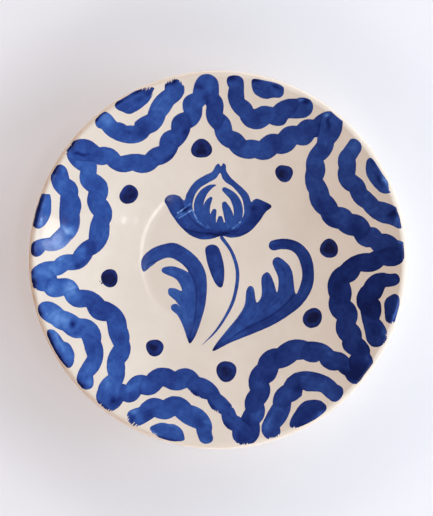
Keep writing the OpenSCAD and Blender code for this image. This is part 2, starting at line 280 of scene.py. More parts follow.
INNER_ARCHES = [
    ([(129, 86), (118, 84), (107, 77), (109, 71), (117, 66), (126, 60)], (-2.5, 74.5),
     [(3, 8.8), (18, 3.8), (28.5, 3.4, 1.2), (47, 4.7, 3.1), (63, 6.6, 1.5), (67, 7)],
     [(1.5, 3.3), (5.6, 2.4), (24.5, 7.2, 2.3), (41.5, 5.8, 3.3), (55.6, 6.2, 3.8), (66, 7.6)], 0.68,
     [(-1, 0, 1.5, 5, 0.3), (3, 0, 3, 4, -0.1), (33, 0, 4, 5, 0.1), (70, 4, 2.5, 2, 0.35),
      (66, 5.5, 2.5, 1.2, -0.35)]),
    ([(129, 41), (117, 38), (111, 30), (115, 22), (121, 17), (129, 13)], (-1.6, 80),
     [(4, 7.2), (14, 5.9), (26.3, 3.6, 1), (42, 4.6, 2.6), (54, 4.4, 0.5), (66, 7.8)],
     [(1, 3.6), (9, 4.8), (19, 6.6, 1), (35, 5.7, 2.7), (49, 6.8, 1.4), (66, 6.6, 1), (75, 4.6)], 0.57,
     [(3, 2, 4, 4, -0.15), (68, 3, 2.5, 4, 0.5), (74, -1, 2, 4, -0.15), (40, 0, 6, 5, 0.08)]),
    ([(128, -6), (116, -9), (111, -14), (116, -20), (122, -24), (128, -28)], (-2.2, 61),
     [(3, 4.5), (9.6, 3.4), (24.5, 6.6, 2.1), (42, 5.2, 2.6), (53, 8.5)],
     [(1, 4.3), (7, 6.6), (20.4, 7.3, 1.6), (33.3, 6.8, 1.7), (53, 7, 1.5)], 0.85,
     [(52, 7, 4, 2, -0.3), (57, 2, 2, 4, -0.15), (34, 0, 3, 5, 0.08)]),
    ([(129, -48), (117, -50), (105, -57), (109, -63), (117, -68), (128, -73)], (-2.5, 77),
     [(2, 7.2), (14, 5), (21, 5.9, 0.1), (28, 5.1, 0.6), (29, 7.8, 0), (46, 4.8, 2.6), (66, 4.8, 2), (71, 7)],
     [(2, 5.4), (5, 5), (38, 6.3, 2.5), (53, 6.7, 2.1), (68, 7.8)], 0.66,
     [(2, 4, 3, 3, -0.12), (33, 4, 5, 3, 0.2), (66, -4, 8, 3, -0.18), (42, 0, 3, 5, -0.08),
      (14, 0, 8, 4, -0.06)]),
    ([(128, -93), (118, -96), (111, -101), (110, -107), (116, -113), (127, -118)], (-2.7, 70),
     [(2, 6.3), (11.5, 4.8), (33.5, 6, 2.8), (50.8, 5.2, 3), (64, 7)],
     [(1, 3.6), (6, 5.8), (25, 5.4, 2.2), (42.2, 5.4, 2.7), (58.5, 5.4, 3), (65, 5.7)], 0.55,
     [(14, 1, 4, 5, 0.2), (55, 2, 5, 5, 0.2), (64, -4, 3, 2, -0.2), (1, 3, 3, 3, -0.1), (67, 2, 2, 4, 0.25)]),
    ([(128, -137), (117, -141), (108, -149), (112, -155), (121, -160), (128, -164)], (-5.3, 75),
     [(3, 7.9), (18.4, 2.6), (35, 4.6, 0.9), (52, 7, 2.5), (60, 6.5, 0.5), (66, 6.8)],
     [(-1, 5), (5.4, 3.2), (28, 8, 3), (45.5, 6, 2.6), (57, 6.3, 0.7), (65, 7.3)], 0.5,
     [(-3, 4, 2, 4, 0.5), (0, -2, 3, 3, -0.2), (7, 3, 3, 4, -0.1), (58, 0, 14, 8, -0.32),
      (47.5, 0, 2, 3, 0.6), (42, 4, 3, 2, 0.15), (72, 5, 3, 2, 0.7), (38, 6, 4, 2, -0.15)]),
    ([(129, -183), (117, -186), (110, -191), (111, -199), (119, -205), (128, -209)], (-5, 74.5),
     [(2, 7), (12, 5), (26.5, 5.4, 0.9), (53, 5.7, 2.9), (63, 9)],
     [(-1, 4.4), (5, 2), (22, 6, 1.9), (38.5, 6, 1.5), (50, 6.4, 1.2), (62.6, 4, 2.4), (69, 4.7)], 0.5,
     [(-4, 1, 2, 5, 0.7), (1, -2, 2, 4, 0.1), (14, 0, 10, 8, -0.34), (26.5, 0, 2.5, 7, -0.35),
      (33, 1, 4, 6, 0.08), (72.5, 4, 3, 2, 0.6), (70, -2, 3, 2, -0.15), (60, 0, 4, 5, -0.05)]),
    ([(128, -231), (119, -232), (108, -237), (109, -243), (118, -250), (127, -256)], (-6.5, 74),
     [(-1, 5.6), (8.5, 4.5), (16.7, 4.5, 0.8), (23, 5.2, 0.4), (24, 7, 0), (41, 4.8, 1.9), (62, 4.6, 1.7),
      (66, 6.8)],
     [(-1, 7.5), (2.6, 6.2), (31.7, 5.5, 2.1), (46.5, 7, 1.7), (58, 7, 0.5), (66, 8.3)], 0.46,
     [(-5.5, 0, 1.5, 7, 0.75), (0, 1, 4, 5, -0.18), (28, -1, 7, 5, 0.25), (68, 6, 3, 2, 0.5),
      (71, 3, 2, 2, 0.4), (62, 0, 5, 5, -0.08)]),
]

# A rim petal: the (radius, angle) of its middle; its length along the rim; how thick its colour lies; how far
# it runs over the other strokes' last line before the rim; its outline, as (way along from the start of that
# length, way towards the rim); and its touches
PETALS = [
    ((127.7, 73.2), 23, 0.62, 0,
     [(-2.5, 2.3), (-1.3, 3.8), (3, 4.2), (10, 4.6), (15, 4.8), (20, 4), (21.5, 1.5), (22, -1), (20.5, -4),
      (16, -5.6), (11, -8), (6, -8), (1.5, -6.3), (-1, -3), (-2.2, 0)],
     [(0, 3, 2.5, 1.2, 0.35), (16.5, 1.8, 3, 1.2, 0.35), (12, 4, 5, 1, -0.15)]),
    ((128.6, 28), 24, 0.6, 0.3,
     [(-1.5, 0.5), (-0.5, 2.6), (5, 3.2), (12, 3.4), (20, 4.3), (25, 2.8), (27, 3.3), (26.6, 0), (24, -3.3),
      (19, -5.5), (13, -6.7), (7, -6.5), (2, -4), (-0.7, -1.5)],
     [(19, 2.8, 5, 1.2, -0.4), (15, 0.2, 5, 1.6, 0.3), (2, 1, 3, 2, 0.15)]),
    ((129, -16), 20, 0.82, 0.7,
     [(-1.5, 0.2), (-0.3, 2.3), (3, 3.8), (10, 4.4), (16, 4.6), (19, 3.5), (20, 0.6), (18.5, -2.2),
      (13, -4.8), (7, -6.6), (3, -6), (0, -3.2), (-1.2, -1.5)],
     [(9, 3.2, 9, 1.4, -0.5), (17, 0.5, 3, 2, 0.15)]),
    ((128, -60), 24, 0.72, 0,
     [(-2.5, 1.5), (-0.5, 4), (5, 4.8), (12, 5), (18, 4.8), (24, 4), (27, 1.5), (25, -2.5), (20, -6),
      (14, -9), (8, -9.6), (2, -7), (-1.3, -4), (-2.2, -1.5)],
     [(5, 4, 4, 1.5, -0.25), (20, 3, 4, 3, 0.2), (12, -3, 6, 4, 0.08)]),
    ((128, -106), 23, 0.49, 0.4,
     [(-0.5, 2.5), (2, 4), (8, 5.6), (14, 5.8), (19, 5), (22.5, 4), (25, 2.5), (25, 0.5), (22.5, -2.5),
      (18, -5.3), (13, -5.8), (9, -6.6), (5, -5.5), (2, -3.5), (0, 0)],
     [(10, 5, 8, 1.2, 0.2), (21, 3.5, 3, 1.2, -0.35), (12, -5, 6, 1.5, -0.12)]),
    ((129, -151), 26, 0.44, 0,
     [(-3, 1), (-1.7, 3.2), (3, 4), (10, 4.6), (19, 5.3), (25, 4.3), (28, 2.3), (26.5, -1.5), (22, -3.6),
      (16, -4.6), (13, -6.7), (9, -7.4), (4, -6.7), (0, -4), (-2.2, -1.5)],
     [(10, 4.2, 14, 1.3, 0.5), (24, 3.5, 4, 1.6, 0.3), (18, -1, 8, 2, -0.2), (6, -4, 5, 3, -0.12)]),
    ((129, -195), 25, 0.47, 0.8,
     [(0.7, 1.5), (1.5, 4.4), (4.6, 6.4), (10, 7.4), (19, 7.2), (24.4, 5.8), (26, 2), (26.3, -0.6), (22, -3),
      (15, -5), (9, -4.7), (4, -2.8), (1.3, 0)],
     [(12, 5.8, 12, 1.7, 0.75), (7.5, 0.3, 1.5, 1, -0.35), (4, 0, 2, 2, -0.2), (18, 1.5, 5, 1.5, -0.12)]),
    ((128, -242), 25, 0.55, 0.6,
     [(-1, 2), (0, 5), (5, 6.4), (12, 6.4), (19, 6.8), (24, 5.4), (29.5, 2.8), (27, -1), (24, -3.8),
      (17, -6.3), (8, -7), (4, -5.5), (1, -1.5)],
     [(3, 4.5, 4, 1, 0.3), (19, 4.5, 4, 1.2, 0.3), (16, -1, 4, 1.8, 0.2), (25, 1, 3, 3, 0.25)]),
]

# A dot: the radius and angle of its middle; its length and width; the way it is longest; the angle of the
# first of its three blunt corners and how much they stand out; and the width of its thinner border
DOTS = [(80.4, 98.5, 15, 13.4, 2, 90, 0.06, 2.4), (78, 52.6, 13, 12, -18, 150, 0.05, 1.4),
        (79.8, 5.8, 13.8, 13.2, 93, 90, 0.03, 0.4), (79.4, -31.6, 14.8, 13.4, 65, 65, 0.02, 1.6),
        (79.9, -85.8, 15, 14.8, 116, 30, 0.04, 2.8), (77.7, -125.8, 12.6, 12.2, -32, 150, 0.03, 2),
        (78.9, -170.4, 13, 12.2, 95, 60, 0.02, 0), (79.2, -216.2, 14.2, 12.6, 55, 90, 0.02, 0.8)]
# Drops that fell off the brush, with the dot that each one belongs to: (dot, x, y, width)
SPATTER = [(7, -83.4, -16.8, 1.3), (7, -84.6, -15.4, 0.8)]

# Outlines of the flower's strokes and of the opening in the cup
CUP = [(-38.5, 42.5), (-36, 46), (-32, 46.8), (-28, 45.8), (-25.6, 43.4), (-24.4, 42.6), (-23.5, 44),
       (-22.4, 47.8), (-17, 55.7), (-10, 60.3), (-4.5, 63), (-2, 67), (0.2, 69), (2, 67), (3.6, 69.2),
       (5.5, 67.5), (6, 63.5), (10, 58), (17, 52), (21.5, 47), (23.2, 42.5), (24, 41.5), (25, 42.6),
       (28, 43.8), (33, 41.9), (36.5, 40.2), (38.2, 38.4), (37.4, 36.9), (34, 34), (29.4, 27.4), (23.4, 20.9),
       (16.8, 17.1), (9.5, 15.8), (2.5, 17), (-5, 15), (-12.5, 14.7), (-20.3, 17.8), (-27.4, 24.2),
       (-33.4, 32.3), (-36.5, 38)]
OPENING = [(1.4, 62.2), (3, 58.5), (5.5, 55.5), (9.5, 53), (13, 49.5), (16.5, 45), (18, 40.5), (18.5, 36),
           (18, 32), (16, 28.5), (13, 26.5), (10, 27), (7, 26.5), (4, 27), (1.5, 26), (-1, 27), (-4, 26.5),
           (-7, 27.5), (-10, 27.5), (-13, 29.5), (-16, 32.5), (-18, 36.5), (-18.3, 40), (-17, 45.5),
           (-13.5, 51), (-7.5, 55), (-1.5, 58.5)]
BUD = [(-7.6, 10), (-4.2, 11), (-0.7, 9.8), (1.5, 6), (3.7, -2), (4.5, -9), (3.9, -16), (2.6, -19.6),
       (-0.3, -19), (-3.6, -14), (-7.6, -3), (-9.3, 7)]
LEFT_LEAF = [(-53.6, -8.5), (-55, 0), (-49, 7), (-40, 11), (-31, 12), (-22.4, 7.7), (-14.4, 0.8), (-9.4, -8),
             (-8, -18), (-9, -31), (-12, -43), (-16, -54), (-20, -60), (-22, -57), (-25, -48), (-29, -40),
             (-33.4, -35.7), (-33.5, -32.6), (-30, -31.5), (-27, -34), (-31, -29), (-35.5, -24.8),
             (-35.4, -20.6), (-31, -20.5), (-26, -22), (-30, -14), (-39.6, -9.2), (-39.5, -5.7), (-32, -4.7),
             (-23, -8), (-21, -10), (-23, -6), (-28.2, -1.4), (-35, 1.5), (-42, -0.5), (-47.8, -4.5)]
RIGHT_LEAF = [(36.4, 9), (37.4, 13), (43.5, 14.9), (50.5, 14.9), (58.5, 12.1), (65.5, 4.5), (68.5, -6.5),
              (67.5, -19.5), (60.5, -31.5), (49.5, -40.5), (37.5, -47.5), (23.5, -53.5), (8.5, -59.5),
              (-3.5, -65.5), (-2.2, -61.2), (4.9, -52), (13.9, -41.1), (19, -32.3), (20, -23), (22.3, -18.9),
              (25.5, -20.5), (27.5, -30.5), (31.1, -25.3), (31, -13.1), (34.3, -9), (37.2, -10.3),
              (40, -16.3), (42.2, -23.3), (43.1, -13.3), (38.9, -2.2), (42.3, 2), (48, -1.2), (53, -8.2),
              (55.5, -24.5), (59.5, -15.5), (60, -7.5), (57, 2), (52.2, 6.6), (45.5, 7.6), (39.5, 6.7)]

# Strokes that swell and thin out: (x, y, width) along their middles
HEART = [
    [(-2, 53.5, 1), (-6, 52, 3.5), (-10.5, 48, 5.5), (-13.5, 42, 6.8), (-13.8, 36, 7), (-12, 30.5, 6.4),
     (-9, 25, 4.5)],
    [(-5.3, 43.9, 2.6), (-6.6, 42, 3.9), (-7.9, 39.2, 4.8), (-8.3, 35.5, 4.8), (-7.5, 31, 4.4),
     (-6, 24.5, 4)],
    [(-2.7, 35, 3.2), (-3.3, 33, 4.1), (-3.8, 30.5, 4.4), (-3.5, 27.5, 4), (-2.5, 23.5, 3)],
    [(1.5, 29.8, 3.5), (1.5, 28.4, 4.6), (1.5, 27, 5), (2, 23.5, 4.5)],
    [(4.6, 39.9, 3.8), (5.3, 38, 5.2), (6.5, 35, 6.2), (7.6, 31, 6.8), (7.8, 27, 6), (7, 23, 4)],
    [(4.6, 50.3, 3.6), (7.2, 48.4, 4.8), (10.8, 45.2, 5.8), (13.3, 40.7, 6.7), (14.4, 36, 6.7),
     (14.2, 31.5, 6.4), (12.5, 27.5, 5.5), (9.5, 23.5, 3)],
]
STEM = [(2.5, 16, 2.6), (9.5, 6, 2.4), (13.5, -6, 2.6), (13.5, -17, 2.6), (10.5, -30, 2.4), (4.5, -42, 2),
        (-2.5, -52, 1.4), (-11.5, -61, 0.3)]

# The brush's ways through the leaves and the cup, which the hairs and the overlaps of the colour follow
LEFT_LOBES = [
    [(-53, -8), (-51, -1), (-43, 5), (-33, 6), (-24, 2), (-17, -4), (-14, -14), (-13, -26), (-15, -40),
     (-18, -52), (-20, -60)],
    [(-38, -7), (-28, -9), (-21, -16), (-18, -28), (-18, -45), (-20, -60)],
    [(-34, -23), (-28, -27), (-23, -36), (-20, -50), (-20, -60)],
    [(-32, -34), (-27, -41), (-23, -50), (-20, -60)],
]
RIGHT_LOBES = [
    [(38, 11), (45, 12), (53, 11), (60, 5), (65, -6), (64, -18), (58, -29), (48, -38), (35, -45), (20, -51),
     (8, -58), (-4, -66)],
    [(42, -1), (49, -6), (50, -18), (45, -28), (35, -38), (20, -47), (5, -58)],
    [(36, -12), (37, -22), (34, -31), (26, -41), (12, -53), (-4, -66)],
    [(24, -22), (24, -32), (19, -41), (10, -52), (-4, -66)],
]
CUP_LOBES = [
    [(-38, 42), (-32, 40), (-25, 32), (-15, 23), (0, 19)],
    [(38, 38), (30, 38), (24, 29), (14, 21), (2, 19)],
    [(0, 67), (-8, 58), (-17, 53), (-21, 44), (-19, 34), (-10, 24), (1, 20)],
    [(4, 67), (8, 57), (15, 51), (20, 43), (20, 33), (12, 24), (2, 20)],
]

# Where the brush ran dry and its hairs left a comb: (x, y, way the hairs point, reach, half width)
FRAYS = [(-31, 128, 95, 6, 7), (-50, 119, 60, 5, 6), (-108, 79, 150, 4, 5), (-132, -20, 200, 4, 4),
         (-80, -106, 230, 6, 7), (-16, -97.5, 245, 3, 7), (4, -105, 265, 3, 8), (-61, -115, 230, 6, 6),
         (-46, -123, 200, 5, 4), (17, -130, 265, 4, 6), (41, -126, 265, 5, 5), (57, -120, 240, 4, 5),
         (120, -56, -25, 5, 5), (123, -46, -60, 4, 3)]


# ----- Curves -----


def polar(r, degrees):
    a = math.radians(degrees)
    return np.array([r * math.cos(a), r * math.sin(a)])


def seen_from(x, y, cx, cy, degrees):
    """How far ahead and how far to the left each point lies for one who looks from (cx, cy) that way."""
    c, s = polar(1, degrees)
    return (x - cx) * c + (y - cy) * s, (y - cy) * c - (x - cx) * s


def smooth_curve(points, steps, closed=False):
    """A smooth (Catmull-Rom) curve through points of any dimension, with steps to each span."""
    p = np.asarray(points, float)
    p = np.vstack([p[-1:], p, p[:2]] if closed else [p[:1], p, p[-1:]])
    t = np.linspace(0, 1, steps, endpoint=False)[:, None]
    spans = [0.5 * (2 * b + (c - a) * t + (2 * a - 5 * b + 4 * c - d) * t**2 + (3 * b - a - 3 * c + d) * t**3)
             for a, b, c, d in zip(p, p[1:], p[2:], p[3:])]
    return np.vstack(spans if closed else spans + [p[-2:-1]])


class Line:
    """A row of points, to place things along it and to find where along it other things are."""

    def __init__(self, points):
        self.points = np.asarray(points, float)
        self.steps = np.diff(self.points, axis=0)
        self.spans = np.hypot(*self.steps.T)
        self.at = np.concatenate([[0], np.cumsum(self.spans)])
        self.length = self.at[-1]
        tangents = np.gradient(self.points, axis=0)
        self.tangents = tangents / np.linalg.norm(tangents, axis=1, keepdims=True)

    def place(self, s, v):
        """The points s along the line and v to its left, which runs on straight past its ends."""
        inside = np.clip(s, 0, self.length)
        point, way = (np.stack([np.interp(inside, self.at, row[:, k]) for k in (0, 1)], axis=-1)
                      for row in (self.points, self.tangents))
        way /= np.linalg.norm(way, axis=-1, keepdims=True)
        left = np.stack([-way[..., 1], way[..., 0]], axis=-1)
        return point + (s - inside)[..., None] * way + v[..., None] * left

    def find(self, x, y):
        """How far along and how far to the left of the line each point is."""
        best = np.full(x.shape, np.inf)
        along, across = np.zeros(x.shape), np.zeros(x.shape)
        last = len(self.steps) - 1
        for i, ((px, py), (dx, dy), span) in enumerate(zip(self.points, self.steps, self.spans)):
            if span < 1e-9:
                continue
            ux, uy = dx / span, dy / span
            t = np.clip((x - px) * ux + (y - py) * uy, 0 if i else -np.inf, span if i < last else np.inf)
            ex, ey = x - px - t * ux, y - py - t * uy
            far = ex * ex + ey * ey
            near = far < best
            best = np.where(near, far, best)
            along = np.where(near, self.at[i] + t, along)
            across = np.where(near, np.sign(ux * ey - uy * ex) * np.sqrt(far), across)
        return along, across


def inside_distance(x, y, outline):
    """How far inside a closed outline each point is; outside it is negative."""
    best = np.full(x.shape, np.inf)
    crossings = np.zeros(x.shape, int)
    for (ax, ay), (bx, by) in zip(outline, np.roll(outline, -1, axis=0)):
        dx, dy = bx - ax, by - ay
        size = dx * dx + dy * dy
        if size < 1e-12:
            continue
        t = np.clip(((x - ax) * dx + (y - ay) * dy) / size, 0, 1)
        best = np.minimum(best, (x - ax - t * dx) ** 2 + (y - ay - t * dy) ** 2)
        if ay != by:
            crossings += ((ay > y) != (by > y)) & (x < dx * (y - ay) / dy + ax)
    return np.where(crossings % 2 == 1, 1, -1) * np.sqrt(best)


BULGE = 0.16
"""How far a dab bulges past the line between its cusps, as a share of that line."""


def scalloped_side(row):
    """(way along, distance out) points of one side of an arch, whose outermost dabs run on into its ends."""
    out = []
    t = np.linspace(0, 1, 10, endpoint=False)
    for i, ((s0, v0, *_), (s1, v1, *bulge)) in enumerate(zip(row, row[1:])):
        if i == 0:
            v = v0 + (v1 - v0) * t**2
        elif i == len(row) - 2:
            v = v1 - (v1 - v0) * (1 - t) ** 2
        else:
            v = v0 + (v1 - v0) * t + (bulge[0] if bulge else BULGE * (s1 - s0)) * 4 * t * (1 - t)
        out.extend(zip(s0 + (s1 - s0) * t, v))
    return out + [row[-1][:2]]


def round_end(a, b, tip):
    """Points round a stroke's end, from (way along, distance) a on one side over tip to b on the other."""
    turns = np.radians([18, 36, 54, 72, 90])
    return [(c[0] + (tip - c[0]) * math.sin(turn), c[1] * math.cos(turn))
            for c, row in ((a, turns), (b, turns[-2::-1])) for turn in row]


def arch_outline(line, ends, left, right):
    left = scalloped_side(left)
    right = [(s, -v) for s, v in scalloped_side(right)]
    rim = left + round_end(left[-1], right[-1], ends[1]) + right[::-1] + round_end(right[0], left[0], ends[0])
    return line.place(*np.array(rim).T)


# ----- Turning a stroke's field into a thin solid -----

GRID, FINE_GRID = 0.5, 0.4
"""Spacing of a stroke's mesh."""
PAINT_LOW, PAINT_RISE, PAINT_BURIED = 0.02, 0.06, 0.12
"""How far a stroke's edge and its middle stand over the glaze, and how far its underside is let into it."""
RISE_WIDTH = 0.7
"""How far in from its edge a stroke has risen by two thirds."""
STACK_STEP, HEART_LIFT = 0.008, 0.012
"""How much further a stroke stands over its neighbours, so that one lies on top where they overlap."""


def trace(field, low, high, step):
    """Meshes the region where field(x, y) > 0: its points, faces and the edges of its outline, in order."""
    lattice = [start + step * np.arange(int((end - start) / step) + 2) for start, end in zip(low, high)]
    x, y = np.meshgrid(*lattice, indexing="ij")
    f = field(x, y)
    inside = f > 0
    index = np.full(f.shape, -1)
    index[inside] = np.arange(inside.sum())
    points = [np.stack([x[inside], y[inside]], axis=1)]

    def edge_points(a, b, axis):
        """Numbers of the new points on the lattice's edges from a to b; -1 where the outline misses one."""
        cuts = inside[a] != inside[b]
        where = np.full(cuts.shape, -1)
        where[cuts] = sum(map(len, points)) + np.arange(cuts.sum())
        f0, f1 = f[a][cuts], f[b][cuts]
        cut = np.stack([x[a][cuts], y[a][cuts]], axis=1)
        cut[:, axis] += np.clip(f0 / (f0 - f1), 0.05, 0.95) * step
        points.append(cut)
        return where

    across = edge_points(np.s_[:-1, :], np.s_[1:, :], 0)
    along = edge_points(np.s_[:, :-1], np.s_[:, 1:], 1)

    corners = inside[:-1, :-1].astype(int) + inside[1:, :-1] + inside[1:, 1:] + inside[:-1, 1:]
    i, j = np.nonzero(corners == 4)
    faces = np.stack([index[i, j], index[i + 1, j], index[i + 1, j + 1], index[i, j + 1]], axis=1).tolist()
    outline = []
    for i, j in zip(*np.nonzero((corners > 0) & (corners < 4))):
        ring = [(index[i, j], False), (across[i, j], True), (index[i + 1, j], False), (along[i + 1, j], True),
                (index[i + 1, j + 1], False), (across[i, j + 1], True), (index[i, j + 1], False),
                (along[i, j], True)]
        ring = [(int(point), is_cut) for point, is_cut in ring if point >= 0]
        faces.append([point for point, _ in ring])
        outline += [(a, b) for (a, a_cut), (b, b_cut) in zip(ring, ring[1:] + ring[:1]) if a_cut and b_cut]
    return np.vstack(points), faces, outline


def paint_piece(node, islands, slot="colour", lift=0.0, ending="_stroke"):
    """One piece of colour on the glaze. An island is (field, (low, high), step, shade), where shade(x, y, f)
    gives how thick the colour lies and the ways along and across the brush's hairs."""
    vertices, normals, faces, marks = [], [], [], []
    for field, box, step, shade in islands:
        points, tops, outline = trace(field, *box, step)
        x, y = points.T

        def rise(a, b):
            depth = np.maximum(field(a, b), 0)
            return PAINT_RISE * (1 - np.exp(-depth / RISE_WIDTH)) + 0.006 * noise(a / 1.7, b / 1.7, 31)

        on_outline = np.isin(np.arange(len(x)), outline)
        top = surface(x, y) + PAINT_LOW + lift + np.where(on_outline, 0, rise(x, y))
        first, n = len(vertices), len(x)
        vertices += [*zip(x, y, top), *zip(x, y, surface(x, y) - PAINT_BURIED)]
        normals += [*surface_normal(x, y, rise), *[(0, 0, -1)] * n]
        faces += [[first + k for k in face] for face in tops]
        faces += [[first + n + k for k in reversed(face)] for face in tops]
        faces += [[first + b, first + a, first + n + a, first + n + b] for a, b in outline]
        marks += [np.stack(shade(x, y, np.maximum(field(x, y), 0)), axis=1)] * 2
    piece = new_piece(node + ending, vertices, faces, PAINTS[slot], slot, node)
    for key, values in zip(("thick", "along", "across"), np.vstack(marks).astype(np.float32).T):
        piece.data.attributes.new(key, "FLOAT", "POINT").data.foreach_set("value", values.copy())
    piece.data.normals_split_custom_set_from_vertices([tuple(map(float, v)) for v in normals])


# ----- How thick the colour lies -----


def clouds(x, y, seed):
    """The slow and the quick unevenness of a brushed wash."""
    return 0.07 * noise(x / 7, y / 7, seed) + 0.05 * noise(x / 2.4, y / 2.4, seed + 1)


def hairs(along, across, seed):
    """Streaks that the brush's hairs leave."""
    return 0.024 * noise(along / 18, across / 0.9, seed) + 0.014 * noise(along / 9, across / 0.5, seed + 1)


def rim_pool_and_left_shade(x, y):
    """Colour that ran together where the brush met the rim, with painted shade that makes it darker and wider
    on the left, where the lip faces away from the light.
    """
    # Painted shade: the rim band is made stronger and wider towards the left of the plate
    left = smoothstep(115, 150, np.abs(np.degrees(np.arctan2(y, x))))
    near = bell((PAINT_EDGE_R - np.hypot(x, y)) / (0.9 + 0.9 * left))
    return (0.15 + 0.25 * left) * near * (0.7 + 0.5 * noise(x / 3, y / 3, 77))


def spots(a, b, touches):
    """The places that the brush loaded or left thin."""
    return sum(darker * bell(np.hypot((a - a0) / reach_a, (b - b0) / reach_b))
               for a0, b0, reach_a, reach_b, darker in touches)


def touched(s, v, x, y, touches):
    return spots(s + 1.3 * noise(x / 4, y / 4, 51), v + 0.9 * noise(x / 4, y / 4, 52), touches)


PAIR_REACH = 9
"""How far apart along an arch the two cusps at the ends of one border between dabs can be."""


def dab_tones(s, v, left, right, half, rng):
    """Each dab's own tone, and the darker line where the next one lies over it."""
    total, level = np.zeros(s.shape), 0.0
    u = np.clip(v / half, -1.2, 1.2)
    for at, *_ in left[1:-1]:
        other = min((c[0] for c in right[1:-1]), key=lambda c: abs(c - at))
        if abs(other - at) > PAIR_REACH:
            other = at
        past = s - ((at + other) / 2 + (at - other) / 2 * u + 3.5 * (1 - u * u))
        new_level = 0.6 * level + rng.uniform(-0.07, 0.07)
        total += (new_level - level) * smoothstep(-1.4, 1.4, past)
        total += rng.uniform(0.0, 0.06) * bell((past + 0.5) / 1.2)
        total -= rng.uniform(0.0, 0.04) * bell((past - 1.2) / 1.6)
        level = new_level
    return total


def edge_darkening(f):
    """The colour that dried along the edge of a stroke."""
    return 0.05 * np.exp(-f / 0.45)


def fray(x, y, f):
    """Takes the comb that a dry brush leaves out of a field."""
    for fx, fy, degrees, reach, half_width in FRAYS:
        u, v = seen_from(x, y, fx, fy, degrees)
        near = smoothstep(-reach, 0, u) * smoothstep(5, 3, u)
        near *= smoothstep(half_width, 0.7 * half_width, np.abs(v))
        comb = np.sin(4.2 * v + 2.5 * noise(v / 2, fx, 61)) + 0.8 * noise(v / 1.8, u / 4, 62)
        f = f - 0.45 * reach * near * np.maximum(comb, 0)
    return f


def rim_edge(x, y):
    """How far inside the brush's last line before the rim each point is; the line strays out on the left."""
    r = np.hypot(x, y)
    further = 0.5 - 0.5 * x / np.maximum(r, 1)
    return PAINT_EDGE_R + further + 0.35 * noise(x / 5, y / 5, 71) - r


def wobble(x, y):
    return 0.10 * noise(x / 2.2, y / 2.2, 41) + 0.05 * noise(x / 0.9, y / 0.9, 42)


def box_of(outline, margin=1.0):
    return np.min(outline, axis=0) - margin, np.max(outline, axis=0) + margin


# ----- The strokes -----


def rim_stroke(name, line, outline, load, touches, seed, over=0.0, tones=None, streaky=1.0, lift=0.0):
    """A stroke that stops at the rim, where it may end in a comb."""
    def field(x, y):
        return fray(x, y, np.minimum(inside_distance(x, y, outline) + wobble(x, y), rim_edge(x, y) + over))

    def shade(x, y, f):
        s, v = line.find(x, y)
        thick = load + touched(s, v, x, y, touches) + clouds(x, y, seed) + streaky * hairs(s, v, seed + 3)
        if tones:
            thick += tones(s, v)
        # The last term adds colour pooled at the rim, and painted shade that darkens it on the left
        return thick + edge_darkening(f) + rim_pool_and_left_shade(x, y), s, v

    paint_piece(name, [(field, box_of(outline), GRID, shade)], lift=lift)


BIG_HALF, INNER_HALF = 7.2, 6.7
"""Usual half widths of the two kinds of arch."""
ARCH_SEED, PETAL_SEED, DOT_SEED, SPATTER_SEED = 100, 300, 500, 560
SEED_STEP = 7


def arch_stroke(name, number, half, middle, ends, left, right, load, touches):
    line = Line(smooth_curve([polar(*p) for p in middle], 24))
    seed = ARCH_SEED + SEED_STEP * number

    def tones(s, v):
        return dab_tones(s, v, left, right, half, np.random.default_rng(seed))

    rim_stroke(name, line, arch_outline(line, ends, left, right), load, touches, seed, tones=tones,
               lift=STACK_STEP * (number % 3))


def petal_stroke(name, number, at, length, load, over, outline, touches):
    r, degrees = at
    spread = math.degrees(length / 2 / r)
    line = Line([polar(r, degrees + spread * (1 - u)) for u in np.linspace(0, 2, 25)])
    outline = line.place(*smooth_curve(outline, 6, closed=True).T)
    rim_stroke(name, line, outline, load, touches, PETAL_SEED + SEED_STEP * number, over, streaky=1.4)


def drop_island(cx, cy, long, wide, degrees, seed, corner=0.0, cornered=0.0, border=0.0):
    """The island of one drop of colour, with three blunt corners and a thinner border."""
    def field(x, y):
        u, v = seen_from(x, y, cx, cy, degrees)
        v = v * long / wide
        a = np.arctan2(v, u)
        turned = np.arctan2(y - cy, x - cx) - math.radians(corner)
        uneven = 1 + cornered * np.cos(3 * turned) + 0.04 * noise(1.3 * np.cos(a) + seed, 1.3 * np.sin(a), 43)
        return (long / 2 * uneven - np.hypot(u, v)) * wide / long + 0.6 * wobble(x, y)

    def shade(x, y, f):
        lean = 1.6 * noise(x / 5, y / 5, seed)
        core = smoothstep(border, border + 2.4, f + lean)
        return 0.74 + 0.2 * core + 1.4 * clouds(x, y, seed) + 2 * edge_darkening(f), x, y

    return field, box_of([(cx, cy)], long / 2 + 1.5), FINE_GRID, shade


def dot_stroke(name, number, r, degrees, long, wide, way, *corners_and_border):
    seed = DOT_SEED + SEED_STEP * number
    islands = [drop_island(*polar(r, degrees), long, wide, way, seed, *corners_and_border)]
    islands += [drop_island(x, y, width, width, 0, SPATTER_SEED)
                for dot, x, y, width in SPATTER if dot == number + 1]
    paint_piece(name, islands, "dot_colour")


